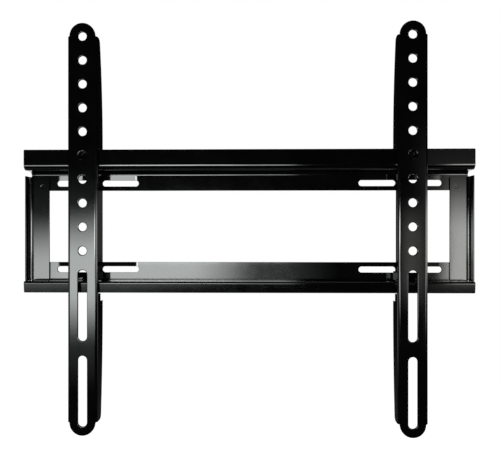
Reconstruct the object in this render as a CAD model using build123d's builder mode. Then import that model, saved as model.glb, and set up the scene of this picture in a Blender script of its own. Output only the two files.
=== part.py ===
"""Fixed wall bracket for a flat screen: a welded wall frame and two hook-on arms.

Millimetres. X runs to the right, +Y into the wall and +Z up. The origin is the centre
of the wall slots, on the wall plane. A depth is a distance in front of the wall, at Y = -depth.
"""
import os

from build123d import *

# Sheet, folds and fits
sheet = 2.0
top_rail_bend = 3.5
bottom_rail_bend = 0.3
side_bend = 2.0
arm_bend = 1.0
fit_gap = 0.3

# Rails, both of them folded strips that lie on the wall
rail_length = 476.0
rail_depth = 22.5
plate_height = 20.0
top_lip_height = 22.0
bottom_lip_height = 11.5
top_shelf_rise = 0.6
bottom_shelf_rise = 0.5
bottom_lip_lean = 0.9
rail_corner = 1.0

# Screw slots through the wall plates
slot_row_spacing = 94.0
slot_edge = 8.0
slot_length = 40.0
slot_width = 6.5
inner_slot_x = 140.0
outer_slot_x = 190.0

# Side plates, folded angles that tie the rails together
leaf_width = 23.0
side_overhang = 3.0
side_depth = 13.5
side_edge_land = 0.2
side_top_spare = 1.5
side_foot_spare = 0.2
leaf_corner = 2.0
weld_diameter = 6.0
weld_depth = 0.3
weld_edge = 4.0
weld_from_leaf_edge = 6.5

# Arms, two equal folded channels with holes for the screen's screws
left_arm_x = -173.5
right_arm_x = 171.5
arm_width = 31.5
arm_standoff = 5.5
arm_wall_gap = 8.0
tab_width = 27.0
end_margin = 14.0
top_hole_z = 199.0
hole_diameter = 9.0
hole_pitch = 25.0
hole_count = 10
arm_slot_width = 9.5
arm_slot_run = 65.0
arm_slot_gap = 25.0

# Outline of an arm's flanges
flange_top_end = 9.5
flange_bottom_end = 13.5
flange_end_round = 5.0
flange_taper = 115.0
finger_gap = 4.4
hook_rear_gap = 0.5
mouth_flare = 2.0
mouth_height = 6.0
finger_round = 3.0
lift_spare = 2.0
cut_back_depth = 8.6
cut_back_foot = 11.0
waist_round = 2.0
waist_foot_gap = 1.0
nose_gap = 1.0
nose_depth = 12.0
nose_height = 8.5
step_round = 1.0

# Heights and depths that follow from these
plate_edge_z = slot_row_spacing / 2 - slot_edge
fold_z = plate_edge_z + plate_height
shelf_top_z = fold_z + sheet
lip_top_z = fold_z + top_lip_height
lip_foot_z = -(fold_z + bottom_lip_height)
arm_face = rail_depth + arm_standoff
arm_fold = arm_bend + sheet
upper_slot_z = top_hole_z - hole_pitch * hole_count
lower_slot_z = upper_slot_z - arm_slot_run - arm_slot_gap
arm_foot_z = lower_slot_z - arm_slot_run


def fold_rail(shelf_z, plate_end_z, lip_end_z, bend, shelf_rise=0, lip_lean=0):
    """One rail: a strip folded forward off the wall into a shelf, and again into a lip."""
    plate_y = -sheet / 2
    lip_y = -(rail_depth - sheet / 2)
    with BuildPart() as rail:
        with BuildSketch(Plane.YZ):
            with BuildLine():
                FilletPolyline(
                    (plate_y, plate_end_z),
                    (plate_y, shelf_z),
                    (lip_y, shelf_z + shelf_rise),
                    (lip_y + lip_lean, lip_end_z),
                    radius=bend + sheet / 2,
                )
            trace(line_width=sheet)
        extrude(amount=rail_length / 2, both=True)
        by_height = rail.faces().sort_by(Axis.Z)
        for edge_face in (by_height[0], by_height[-1]):
            fillet(edge_face.edges().filter_by(Axis.X, reverse=True), radius=rail_corner)
        slot_z = slot_row_spacing / 2 if plate_end_z > 0 else -slot_row_spacing / 2
        with BuildSketch(Plane.XZ):
            with Locations(*[(side * x, slot_z) for side in (-1, 1) for x in (inner_slot_x, outer_slot_x)]):
                SlotOverall(slot_length, slot_width)
        extrude(amount=sheet, mode=Mode.SUBTRACT)
    return rail


def fold_side_plate(side):
    """One side plate: a leaf welded on the fronts of both wall plates, and a flange along the end."""
    leaf_front = 2 * sheet
    leaf_y = -(leaf_front - sheet / 2)
    outer_x = rail_length / 2 + side_overhang
    leaf_edge_x = outer_x - leaf_width
    foot_z = -fold_z
    head_z = fold_z - top_rail_bend - side_top_spare
    with BuildPart() as plate:
        with BuildSketch(Plane.XY.offset(foot_z)):
            with BuildLine():
                FilletPolyline(
                    (side * leaf_edge_x, leaf_y),
                    (side * (outer_x - sheet / 2), leaf_y),
                    (side * (outer_x - sheet / 2), -side_depth),
                    radius=side_bend + sheet / 2,
                )
            trace(line_width=sheet)
        extrude(amount=head_z - foot_z)
        # The foot is cut away round the bottom rail's fold
        with BuildSketch(Plane.YZ.offset(side * leaf_edge_x)):
            with Locations((0, foot_z)):
                Rectangle(
                    2 * (leaf_front + side_bend + side_foot_spare),
                    2 * (bottom_rail_bend + side_foot_spare),
                )
        extrude(amount=side * (rail_length / 2 + fit_gap - leaf_edge_x), mode=Mode.SUBTRACT)
        outward = Axis((0, 0, 0), (side, 0, 0))
        fillet(plate.edges().filter_by(Axis.Y).group_by(outward)[0], radius=leaf_corner)
        # The flange's front edge is rolled over on its outer side
        front_edges = plate.edges().filter_by(Axis.Z).group_by(Axis.Y)[0]
        fillet(front_edges.sort_by(outward)[-1], radius=sheet - side_edge_land)
        # Mark of the spot weld on the top rail
        with BuildSketch(Plane.XZ.offset(leaf_front)):
            with Locations((side * (leaf_edge_x + weld_from_leaf_edge), plate_edge_z + weld_edge)):
                Circle(weld_diameter / 2)
        extrude(amount=-weld_depth, mode=Mode.SUBTRACT)
    return plate


def draw_flange(cut_back):
    """Side outline of one flange, cut back between the rails or not, in Y and Z."""
    fold_y = -(arm_face - arm_fold)
    back_y = -arm_wall_gap
    strip_y = -(rail_depth + fit_gap)
    lip_back_y = -(rail_depth - sheet - hook_rear_gap)
    nose_y = -(arm_face - nose_depth)
    hook_z = lip_top_z + fit_gap
    finger_z = shelf_top_z + top_shelf_rise + finger_gap
    waist_top_z = fold_z - (lip_top_z - finger_z) - lift_spare
    waist_foot_z = waist_foot_gap + bottom_shelf_rise - fold_z
    cut_y = -(arm_face - cut_back_depth)
    cut_foot_z = cut_back_foot - fold_z
    waist = [(back_y, waist_top_z), (back_y, waist_foot_z)]
    if cut_back:
        waist = [(cut_y, waist_top_z), (cut_y, cut_foot_z), (back_y, cut_foot_z), waist[-1]]
    nose_z = lip_foot_z - nose_gap
    step_z = nose_z - nose_height
    top_end = (-(arm_face - flange_top_end), top_hole_z)
    foot_end = (-(arm_face - flange_bottom_end), arm_foot_z)
    shoulder = (back_y, top_hole_z - flange_taper)
    heel = (back_y, step_z)
    TangentArc(shoulder, top_end, tangent=(0, 1))
    FilletPolyline(
        shoulder,
        (back_y, finger_z),
        (lip_back_y + mouth_flare, finger_z),
        (lip_back_y, finger_z + mouth_height),
        (lip_back_y, hook_z),
        (strip_y, hook_z),
        (strip_y, waist_top_z),
        *waist,
        (strip_y, waist_foot_z),
        (strip_y, nose_z),
        (nose_y, nose_z),
        (nose_y, step_z),
        heel,
        radius=[finger_round, step_round, 0, 0, 0, step_round]
        + len(waist) * [waist_round]
        + 4 * [step_round],
    )
    TangentArc(heel, foot_end, tangent=(0, -1))
    Polyline(foot_end, (fold_y, arm_foot_z), (fold_y, top_hole_z), top_end)


def fold_arm(arm_x):
    """One arm: a long holed face, folded back into two flanges that hook over the rails."""
    leg_y = -(arm_face - arm_fold - sheet / 2)
    face_y = -(arm_face - sheet / 2)
    leg_x = arm_width / 2 - sheet / 2
    face_plane = Plane.XZ.offset(arm_face)
    with BuildPart() as arm:
        # Face between the end tabs, with its two long folds
        with BuildSketch(Plane.XY.offset(arm_foot_z)):
            with BuildLine():
                FilletPolyline(
                    (arm_x - leg_x, leg_y),
                    (arm_x - leg_x, face_y),
                    (arm_x + leg_x, face_y),
                    (arm_x + leg_x, leg_y),
                    radius=arm_bend + sheet / 2,
                )
            trace(line_width=sheet)
        extrude(amount=top_hole_z - arm_foot_z)
        # Round-ended tabs run on past both ends of the folds
        with BuildSketch(face_plane):
            with Locations((arm_x, (top_hole_z + arm_foot_z) / 2)):
                SlotOverall(top_hole_z - arm_foot_z + 2 * end_margin, tab_width, rotation=90)
                Rectangle(tab_width, top_hole_z - arm_foot_z, mode=Mode.SUBTRACT)
        extrude(amount=-sheet)
        # The left flange is cut back between the rails, and the right one is not
        for flange_x, cut_back in (
            (arm_x - arm_width / 2, True),
            (arm_x + arm_width / 2 - sheet, False),
        ):
            with BuildSketch(Plane.YZ.offset(flange_x)) as flange:
                with BuildLine():
                    draw_flange(cut_back)
                make_face()
                by_height = flange.vertices().group_by(Axis.Y)
                end_corners = [row.sort_by(Axis.X)[-1] for row in (by_height[0], by_height[-1])]
                fillet(end_corners, radius=flange_end_round)
            extrude(amount=sheet)
        # Row of round holes, and two long slots below it
        with BuildSketch(face_plane):
            with Locations(*[(arm_x, top_hole_z - hole_pitch * i) for i in range(hole_count)]):
                Circle(hole_diameter / 2)
            with Locations(*[(arm_x, z - arm_slot_run / 2) for z in (upper_slot_z, lower_slot_z)]):
                SlotCenterToCenter(arm_slot_run, arm_slot_width, rotation=90)
        extrude(amount=-sheet, mode=Mode.SUBTRACT)
    return arm


shelf_mid_z = fold_z + sheet / 2
pieces = {
    "top_rail": fold_rail(shelf_mid_z, plate_edge_z, lip_top_z, top_rail_bend, top_shelf_rise),
    "bottom_rail": fold_rail(
        -shelf_mid_z, -plate_edge_z, lip_foot_z, bottom_rail_bend, bottom_shelf_rise, bottom_lip_lean
    ),
    "left_side_plate": fold_side_plate(-1),
    "right_side_plate": fold_side_plate(1),
    "left_arm": fold_arm(left_arm_x),
    "right_arm": fold_arm(right_arm_x),
}

os.makedirs("parts", exist_ok=True)
for name, piece in pieces.items():
    piece.part.label = name
    export_step(piece.part, f"parts/{name}.step")
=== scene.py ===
"""Looks of the fixed wall bracket: gloss black coat, studio light and the photograph's camera.

Metres, in the frame of the CAD model: X to the right, +Y into the wall, +Z up.
"""
import itertools
import math

import bmesh
import bpy
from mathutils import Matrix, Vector


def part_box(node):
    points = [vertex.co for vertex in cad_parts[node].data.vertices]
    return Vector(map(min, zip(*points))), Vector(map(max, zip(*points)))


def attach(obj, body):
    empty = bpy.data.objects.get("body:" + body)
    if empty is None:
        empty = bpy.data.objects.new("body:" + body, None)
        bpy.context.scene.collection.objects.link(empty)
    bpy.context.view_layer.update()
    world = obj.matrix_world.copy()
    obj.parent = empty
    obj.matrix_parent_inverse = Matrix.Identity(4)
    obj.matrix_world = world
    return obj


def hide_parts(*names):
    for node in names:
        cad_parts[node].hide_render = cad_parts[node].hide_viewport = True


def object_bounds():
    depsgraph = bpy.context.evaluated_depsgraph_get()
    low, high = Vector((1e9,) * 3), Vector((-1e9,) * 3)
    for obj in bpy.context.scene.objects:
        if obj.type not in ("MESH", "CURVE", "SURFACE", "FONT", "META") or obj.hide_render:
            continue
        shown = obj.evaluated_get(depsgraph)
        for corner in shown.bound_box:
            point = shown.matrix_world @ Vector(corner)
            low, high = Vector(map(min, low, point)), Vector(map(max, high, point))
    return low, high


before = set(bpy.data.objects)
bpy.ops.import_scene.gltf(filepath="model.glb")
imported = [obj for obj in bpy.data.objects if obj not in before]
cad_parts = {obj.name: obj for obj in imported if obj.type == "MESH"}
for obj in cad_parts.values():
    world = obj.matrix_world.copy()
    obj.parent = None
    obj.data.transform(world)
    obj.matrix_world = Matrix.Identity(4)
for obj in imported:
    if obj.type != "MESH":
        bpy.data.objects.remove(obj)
cad_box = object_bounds()

# Body that each piece rides on
bodies = {
    "top_rail": "wall_frame",
    "bottom_rail": "wall_frame",
    "left_side_plate": "wall_frame",
    "right_side_plate": "wall_frame",
    "left_arm": "left_arm",
    "right_arm": "right_arm",
}

# Camera, from the perspective of the photograph
image_width = 500
focal_pixels = 528.1
horizon_drop = 5.5
sensor_width = 36.0
view_yaw = math.radians(1.052)
view_target = Vector((0.0024, -0.028, -0.00945))
view_distance = 0.5503

# Colour and gloss of the coat, and the step from one piece's patch of the pattern to the next
coat_blacks = ((0.0008, 0.0008, 0.00085, 1), (0.0018, 0.0018, 0.0019, 1))
cloud_limits = (0.35, 0.70)
coat_roughness = (0.06, 0.09)
haze_limits = (0.3, 0.7)
patch_step = 1.7
patch_slant = (1.0, 0.37, -0.61)

# Coat on the sheet's cut edges, and rims of the arms' holes that the punch has rolled over
same_place = 1e-6
place_digits = 6
flat_angle = math.radians(0.5)
edge_angle = math.radians(40)
edge_round = 0.00018
edge_segments = 2
narrow_face = 0.0006
step_reach = 0.0016
cusp_closeness = 0.9
rim_round = 0.0008
rim_reach = 0.006
rim_steps = 3

# Wall slots, and the strips beside them that the punch has bowed: Z from and to, and tip of the normal
slot_mid_x = 0.165
slot_half_spacing = 0.025
slot_half_length = 0.020
bow_fade = 0.005
bow_edge = 0.0006
bow_depth = 0.004
bow_depth_fade = 0.001
bowed_strips = {"top_rail": (0.0500, 0.0556, -0.15), "bottom_rail": (-0.0440, -0.0388, 0.15)}

# Backdrop and floor
white = (1, 1, 1, 1)
backdrop_edge = (0.972, 0.990)
studio_dim = 0.006
floor_drop = 0.40
floor_half_width = 2.5
floor_front = -0.1
floor_rear = 4.0
floor_paint = (0.45, 0.45, 0.45, 1)
shadow_reach = 0.35
shadow_white = 0.85

# Light, a little warmer from the right
cool_tint = (0.95, 1.0, 0.985)
warm_tint = (0.985, 1.0, 0.955)
warm_from_x = 0.1

# Ways a soft box can face: tilt from straight down, and turn. Its left and right are as seen that way
facings = {
    "rear": (math.pi / 2, 0.0),
    "front": (math.pi / 2, math.pi),
    "left": (math.pi / 2, math.pi / 2),
    "right": (math.pi / 2, -math.pi / 2),
    "down": (0.0, 0.0),
}

# Soft boxes in front, each a little farther off than the last, so that those that overlap add up:
# X from and to, Z from and to, fades at the left, right, lower and upper edge, and brightness
panel_distance = 0.85
panel_step = 0.002
front_panels = {
    "left_panel": ((-0.56, 0.018), (-0.20, 0.077), (0.06, 0.20, 0.10, 0.155), 10.3),
    "left_lower": ((-0.56, -0.03), (-0.303, -0.10), (0.06, 0.20, 0.155, 0.10), 10.3),
    "left_end": ((-0.78, -0.50), (-0.31, 0.057), (0.15, 0.06, 0.155, 0.155), 9.2),
    "left_foot": ((-0.78, -0.20), (-0.43, -0.22), (0.10, 0.15, 0.14, 0.06), 0.4),
    "left_crown": ((-0.78, -0.40), (-0.05, 0.18), (0.10, 0.04, 0.10, 0.12), 0.2),
    "left_fade": ((-0.12, 0.24), (-0.20, 0.02), (0.05, 0.25, 0.08, 0.10), 0.8),
    "middle_panel": ((-0.42, 0.00), (-0.085, 0.075), (0.05, 0.12, 0.05, 0.06), 18.0),
    "middle_wing": ((-0.12, 0.13), (-0.085, 0.065), (0.12, 0.06, 0.05, 0.06), 11.0),
    "middle_low": ((-0.14, 0.13), (-0.25, -0.14), (0.08, 0.05, 0.03, 0.03), 12.0),
    "right_panel": ((0.485, 0.90), (-0.30, 0.142), (0.06, 0.15, 0.15, 0.15), 8.9),
    "right_fade": ((0.375, 0.48), (-0.23, 0.10), (0.03, 0.09, 0.12, 0.12), 1.3),
    "right_crown": ((0.40, 0.95), (0.0, 0.34), (0.08, 0.15, 0.05, 0.20), 0.24),
    "right_cap": ((0.50, 0.80), (0.06, 0.165), (0.03, 0.10, 0.03, 0.02), 0.8),
    "right_foot": ((0.44, 0.72), (-0.34, -0.16), (0.05, 0.10, 0.08, 0.05), 0.4),
}

# Soft boxes at the sides, behind and above, for the folds and flanges and for the other views:
# centre, width and height, fades at the four edges, brightness, and the way it faces
round_panels = {
    "right_side": ((1.1, -0.30, -0.03), (0.9, 0.38), (0.2, 0.2, 0.14, 0.14), 7.5, "left"),
    "left_side": ((-1.1, 0.0, -0.17), (0.9, 0.76), (0.2, 0.2, 0.2, 0.2), 0.8, "right"),
    "rear_card": ((0.13, 0.9, 0.02), (0.16, 0.26), (0.05, 0.05, 0.06, 0.06), 0.10, "front"),
    "rear_left": ((-0.65, 0.5, -0.14), (0.9, 0.52), (0.15, 0.3, 0.2, 0.1), 1.4, "front"),
    "rear_right": ((0.65, 0.5, -0.14), (0.9, 0.52), (0.3, 0.15, 0.2, 0.1), 1.4, "front"),
    "overhead": ((0.0, 0.1, 0.95), (1.4, 0.6), (0.4, 0.4, 0.15, 0.15), 1.5, "down"),
}


class Nodes:
    """Emptied node tree of a material, world or light, with short ways to add and link nodes."""

    def __init__(self, owner):
        owner.use_nodes = True
        self.tree = owner.node_tree
        self.tree.nodes.clear()

    def feed(self, socket, value):
        """Link another node's output to a socket, or set a constant on it."""
        if isinstance(value, bpy.types.NodeSocket):
            self.tree.links.new(value, socket)
        else:
            socket.default_value = value

    def add(self, kind, *values, operation=None, **inputs):
        """New node, its sockets fed in order or by name, in which an underscore stands for a space."""
        node = self.tree.nodes.new(kind)
        if operation:
            node.operation = operation
        for socket, value in zip(node.inputs, values):
            self.feed(socket, value)
        for name, value in inputs.items():
            self.feed(node.inputs[name.replace("_", " ")], value)
        return node

    def calculate(self, operation, *values):
        """Result of an operation on numbers."""
        return self.add("ShaderNodeMath", *values, operation=operation).outputs["Value"]

    def ramp(self, value, low, high, out_low, out_high, shape="SMOOTHSTEP"):
        """Value between two limits, mapped to two others."""
        node = self.add(
            "ShaderNodeMapRange",
            Value=value,
            From_Min=low,
            From_Max=high,
            To_Min=out_low,
            To_Max=out_high,
        )
        node.interpolation_type = shape
        return node.outputs["Result"]


def bowed_normal(nodes, coords, strip):
    """Normal of a wall plate, tipped up or down where the strip beside each slot is bowed."""
    low, high, tip = strip
    axes = nodes.add("ShaderNodeSeparateXYZ", Vector=coords).outputs
    # Distance along the rail from the middle of the nearest slot
    along = nodes.calculate("ABSOLUTE", axes["X"])
    for middle in (slot_mid_x, slot_half_spacing):
        along = nodes.calculate("ABSOLUTE", nodes.calculate("SUBTRACT", along, middle))
    tipped = nodes.ramp(along, slot_half_length - bow_fade, slot_half_length, tip, 0)
    for axis, start, end, before, after in (
        ("Y", -bow_depth - bow_depth_fade, -bow_depth, 0, 1),
        ("Z", low - bow_edge, low, 0, 1),
        ("Z", high - bow_edge, high, 1, 0),
    ):
        inside = nodes.ramp(axes[axis], start, end, before, after)
        tipped = nodes.calculate("MULTIPLY", tipped, inside)
    turn = nodes.add("ShaderNodeCombineXYZ", Z=tipped).outputs["Vector"]
    normal = nodes.add("ShaderNodeNewGeometry").outputs["Normal"]
    turned = nodes.add("ShaderNodeVectorMath", turn, normal, operation="ADD").outputs["Vector"]
    return nodes.add("ShaderNodeVectorMath", turned, operation="NORMALIZE").outputs["Vector"]


def coat_material(name, seed, strip=None):
    """Baked gloss coat: faint orange peel, cloudy gloss and a slightly uneven black."""
    material = bpy.data.materials.new(name)
    nodes = Nodes(material)
    coords = nodes.add("ShaderNodeTexCoord").outputs["Object"]
    patch = [seed * share for share in patch_slant]
    spot = nodes.add("ShaderNodeMapping", Vector=coords, Location=patch).outputs["Vector"]

    clouds = nodes.add("ShaderNodeTexNoise", Vector=spot, Scale=28.0, Detail=4.0, Roughness=0.55)
    tint = nodes.add("ShaderNodeValToRGB", Fac=clouds.outputs["Fac"])
    for stop, limit, black in zip(tint.color_ramp.elements, cloud_limits, coat_blacks):
        stop.position = limit
        stop.color = black

    haze = nodes.add("ShaderNodeTexNoise", Vector=spot, Scale=95.0, Detail=3.0, Roughness=0.6)
    gloss = nodes.ramp(haze.outputs["Fac"], *haze_limits, *coat_roughness, shape="LINEAR")

    peel = nodes.add("ShaderNodeTexNoise", Vector=spot, Scale=520.0, Detail=2.0, Roughness=0.5)
    relief = nodes.add("ShaderNodeBump", Height=peel.outputs["Fac"], Strength=0.02, Distance=0.0004)
    if strip:
        nodes.feed(relief.inputs["Normal"], bowed_normal(nodes, coords, strip))

    shader = nodes.add(
        "ShaderNodeBsdfPrincipled",
        Base_Color=tint.outputs["Color"],
        Roughness=gloss,
        Normal=relief.outputs["Normal"],
        IOR=1.5,
    )
    nodes.add("ShaderNodeOutputMaterial", Surface=shader.outputs["BSDF"])
    return material


def in_plan(vertex):
    """Place of a vertex on an arm's face, whatever its depth."""
    return round(vertex.co.x, place_digits), round(vertex.co.z, place_digits)


def roll_rims(solid, low, high):
    """Round over the front rims of the holes and slots in an arm's face."""
    middle = (low.x + high.x) / 2
    walls = []
    outward = {}
    for edge in solid.edges:
        front = min(edge.verts, key=lambda v: v.co.y)
        back = edge.other_vert(front)
        if (
            in_plan(front) == in_plan(back)
            and front.co.y < low.y + same_place
            and abs(front.co.x - middle) < rim_reach
            and low.z + rim_reach < front.co.z < high.z - rim_reach
        ):
            first, second = [face.normal for face in edge.link_faces]
            away = -(first + second).normalized()
            walls.append(edge)
            # Scaled so that the walls on both sides of the edge move by the same distance
            outward[in_plan(front)] = away / -away.dot(first)
    bmesh.ops.subdivide_edges(solid, edges=walls, cuts=rim_steps)
    columns = {place: [] for place in outward}
    for vertex in solid.verts:
        if in_plan(vertex) in columns:
            columns[in_plan(vertex)].append(vertex)
    for place, column in columns.items():
        column.sort(key=lambda v: v.co.y)
        corner = column[0].co.copy()
        for step, vertex in enumerate(column[: rim_steps + 1]):
            turn = math.pi / 2 * step / rim_steps
            vertex.co = corner + rim_round * (1 - math.sin(turn)) * outward[place]
            vertex.co.y += rim_round * (1 - math.cos(turn))
    solid.normal_update()


def has_cusp(vertex, edges):
    """Whether two of these edges leave a vertex in nearly the same direction."""
    rays = [
        (edge.other_vert(vertex).co - vertex.co).normalized()
        for edge in vertex.link_edges
        if edge in edges
    ]
    return any(one.dot(other) > cusp_closeness for one, other in itertools.combinations(rays, 2))


def cut_edges(solid):
    """Edges at which the sheet was cut, but for those beside steps too small to round off."""
    sharp = {e for e in solid.edges if len(e.link_faces) == 2 and e.calc_face_angle() > edge_angle}
    tight = {
        edge
        for edge in sharp
        if min(face.calc_area() for face in edge.link_faces) < narrow_face * edge.calc_length()
    }
    roomy = sharp - tight
    steps = [v for edge in tight if edge.calc_length() < narrow_face for v in edge.verts]
    steps += [vertex for vertex in solid.verts if has_cusp(vertex, sharp)]
    crowded = {
        vertex
        for vertex in solid.verts
        if any((vertex.co - step.co).length < step_reach for step in steps)
    }
    return [edge for edge in solid.edges if edge in roomy and not crowded.intersection(edge.verts)]


def coat_edges(name, node):
    """Copy of a CAD node in which the coat rounds off the cut edges of the sheet."""
    mesh = node.data.copy()
    mesh.name = f"{name}_coated"
    solid = bmesh.new()
    solid.from_mesh(mesh)
    bmesh.ops.remove_doubles(solid, verts=solid.verts, dist=same_place)
    bmesh.ops.dissolve_limit(solid, angle_limit=flat_angle, verts=solid.verts, edges=solid.edges)
    if name.endswith("_arm"):
        roll_rims(solid, *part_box(name))
    bmesh.ops.bevel(
        solid,
        geom=cut_edges(solid),
        offset=edge_round,
        segments=edge_segments,
        profile=0.5,
        affect="EDGES",
        clamp_overlap=False,
    )
    for face in solid.faces:
        face.smooth = True
    solid.to_mesh(mesh)
    solid.free()
    piece = bpy.data.objects.new(mesh.name, mesh)
    bpy.context.collection.objects.link(piece)
    weight = piece.modifiers.new("flat_faces", "WEIGHTED_NORMAL")
    weight.mode = "FACE_AREA"
    weight.weight = 100
    return piece


def coat_pieces():
    """Give every CAD node its own patch of the coat, and replace it by its coated copy."""
    for index, (name, node) in enumerate(sorted(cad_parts.items())):
        material = coat_material(f"black_coat_{name}", patch_step * index, bowed_strips.get(name))
        node.data.materials.clear()
        node.data.materials.append(material)
        piece = coat_edges(name, node)
        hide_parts(name)
        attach(piece, bodies[name])


def build_world():
    """Backdrop that is white to the camera, and to reflections only straight behind the object."""
    world = bpy.data.worlds.new("studio")
    bpy.context.scene.world = world
    nodes = Nodes(world)
    direction = nodes.add("ShaderNodeTexCoord").outputs["Generated"]
    axes = nodes.add("ShaderNodeSeparateXYZ", Vector=direction).outputs
    behind = nodes.ramp(axes["Y"], *backdrop_edge, studio_dim, 1.0)
    rays = nodes.add("ShaderNodeLightPath").outputs
    seen = nodes.calculate("MAXIMUM", rays["Is Camera Ray"], rays["Is Transmission Ray"])
    strength = nodes.calculate("MAXIMUM", behind, seen)
    sky = nodes.add("ShaderNodeBackground", Color=white, Strength=strength)
    nodes.add("ShaderNodeOutputWorld", Surface=sky.outputs["Background"])


def floor_material():
    """Pale paint, lifted to white for the camera, but less under the bracket, to keep its shadow."""
    material = bpy.data.materials.new("floor_white")
    nodes = Nodes(material)
    seen = nodes.add("ShaderNodeLightPath").outputs["Is Camera Ray"]
    spot = nodes.add("ShaderNodeTexCoord").outputs["Object"]
    away = nodes.add("ShaderNodeVectorMath", spot, operation="LENGTH").outputs["Value"]
    whiteness = nodes.ramp(away, shadow_reach, 2 * shadow_reach, shadow_white, 1.0)
    strength = nodes.calculate("MULTIPLY", whiteness, seen)
    paint = nodes.add("ShaderNodeBsdfDiffuse", Color=floor_paint).outputs["BSDF"]
    lift = nodes.add("ShaderNodeEmission", Color=white, Strength=strength).outputs["Emission"]
    both = nodes.add("ShaderNodeAddShader", paint, lift)
    nodes.add("ShaderNodeOutputMaterial", Surface=both.outputs["Shader"])
    return material


def build_floor(height):
    """Floor well below the bracket."""
    mesh = bpy.data.meshes.new("floor")
    corners = [
        (-floor_half_width, floor_front, 0),
        (floor_half_width, floor_front, 0),
        (floor_half_width, floor_rear, 0),
        (-floor_half_width, floor_rear, 0),
    ]
    mesh.from_pydata(corners, [], [(0, 1, 2, 3)])
    mesh.materials.append(floor_material())
    floor = bpy.data.objects.new("floor", mesh)
    floor.location.z = height
    bpy.context.collection.objects.link(floor)


def add_panel(name, centre, size, fades, brightness, facing):
    """Soft box of a given brightness at its middle, which fades out towards each edge."""
    width, height = size
    left, right, lower, upper = fades
    light = bpy.data.lights.new(name, "AREA")
    light.shape = "RECTANGLE"
    light.size = width
    light.size_y = height
    light.energy = math.pi * width * height * brightness
    light.color = warm_tint if centre[0] > warm_from_x else cool_tint
    nodes = Nodes(light)
    place = nodes.add("ShaderNodeNewGeometry").outputs["Parametric"]
    axes = nodes.add("ShaderNodeSeparateXYZ", Vector=place).outputs
    strength = nodes.ramp(axes["X"], 0, left / width, 0, 1)
    for axis, start, end, before, after in (
        ("X", 1 - right / width, 1, 1, 0),
        ("Y", 0, lower / height, 0, 1),
        ("Y", 1 - upper / height, 1, 1, 0),
    ):
        fade = nodes.ramp(axes[axis], start, end, before, after)
        strength = nodes.calculate("MULTIPLY", strength, fade)
    glow = nodes.add("ShaderNodeEmission", Strength=strength)
    nodes.add("ShaderNodeOutputLight", Surface=glow.outputs["Emission"])
    lamp = bpy.data.objects.new(name, light)
    tilt, turn = facings[facing]
    lamp.location = centre
    lamp.rotation_euler = (tilt, 0, turn)
    lamp.visible_camera = False
    bpy.context.collection.objects.link(lamp)


def build_lights():
    """Soft boxes in front, which the camera sees mirrored in the coat, and others round the bracket."""
    for index, (name, (x_range, z_range, fades, brightness)) in enumerate(front_panels.items()):
        centre = (sum(x_range) / 2, -panel_distance - index * panel_step, sum(z_range) / 2)
        size = (x_range[1] - x_range[0], z_range[1] - z_range[0])
        add_panel(name, centre, size, fades, brightness, "rear")
    for name, panel in round_panels.items():
        add_panel(name, *panel)


def build_camera():
    """Level camera in front of the bracket, a little to the right of its middle."""
    data = bpy.data.cameras.new("camera")
    data.sensor_fit = "HORIZONTAL"
    data.sensor_width = sensor_width
    data.lens = sensor_width * focal_pixels / image_width
    data.shift_y = horizon_drop / image_width
    camera = bpy.data.objects.new("camera", data)
    backward = Vector((math.sin(view_yaw), -math.cos(view_yaw), 0))
    camera.location = view_target + view_distance * backward
    camera.rotation_euler = (math.pi / 2, 0, view_yaw)
    bpy.context.collection.objects.link(camera)
    bpy.context.scene.camera = camera


coat_pieces()
build_world()
build_floor(cad_box[0].z - floor_drop)
build_lights()
build_camera()
bpy.context.scene.view_settings.view_transform = "Standard"
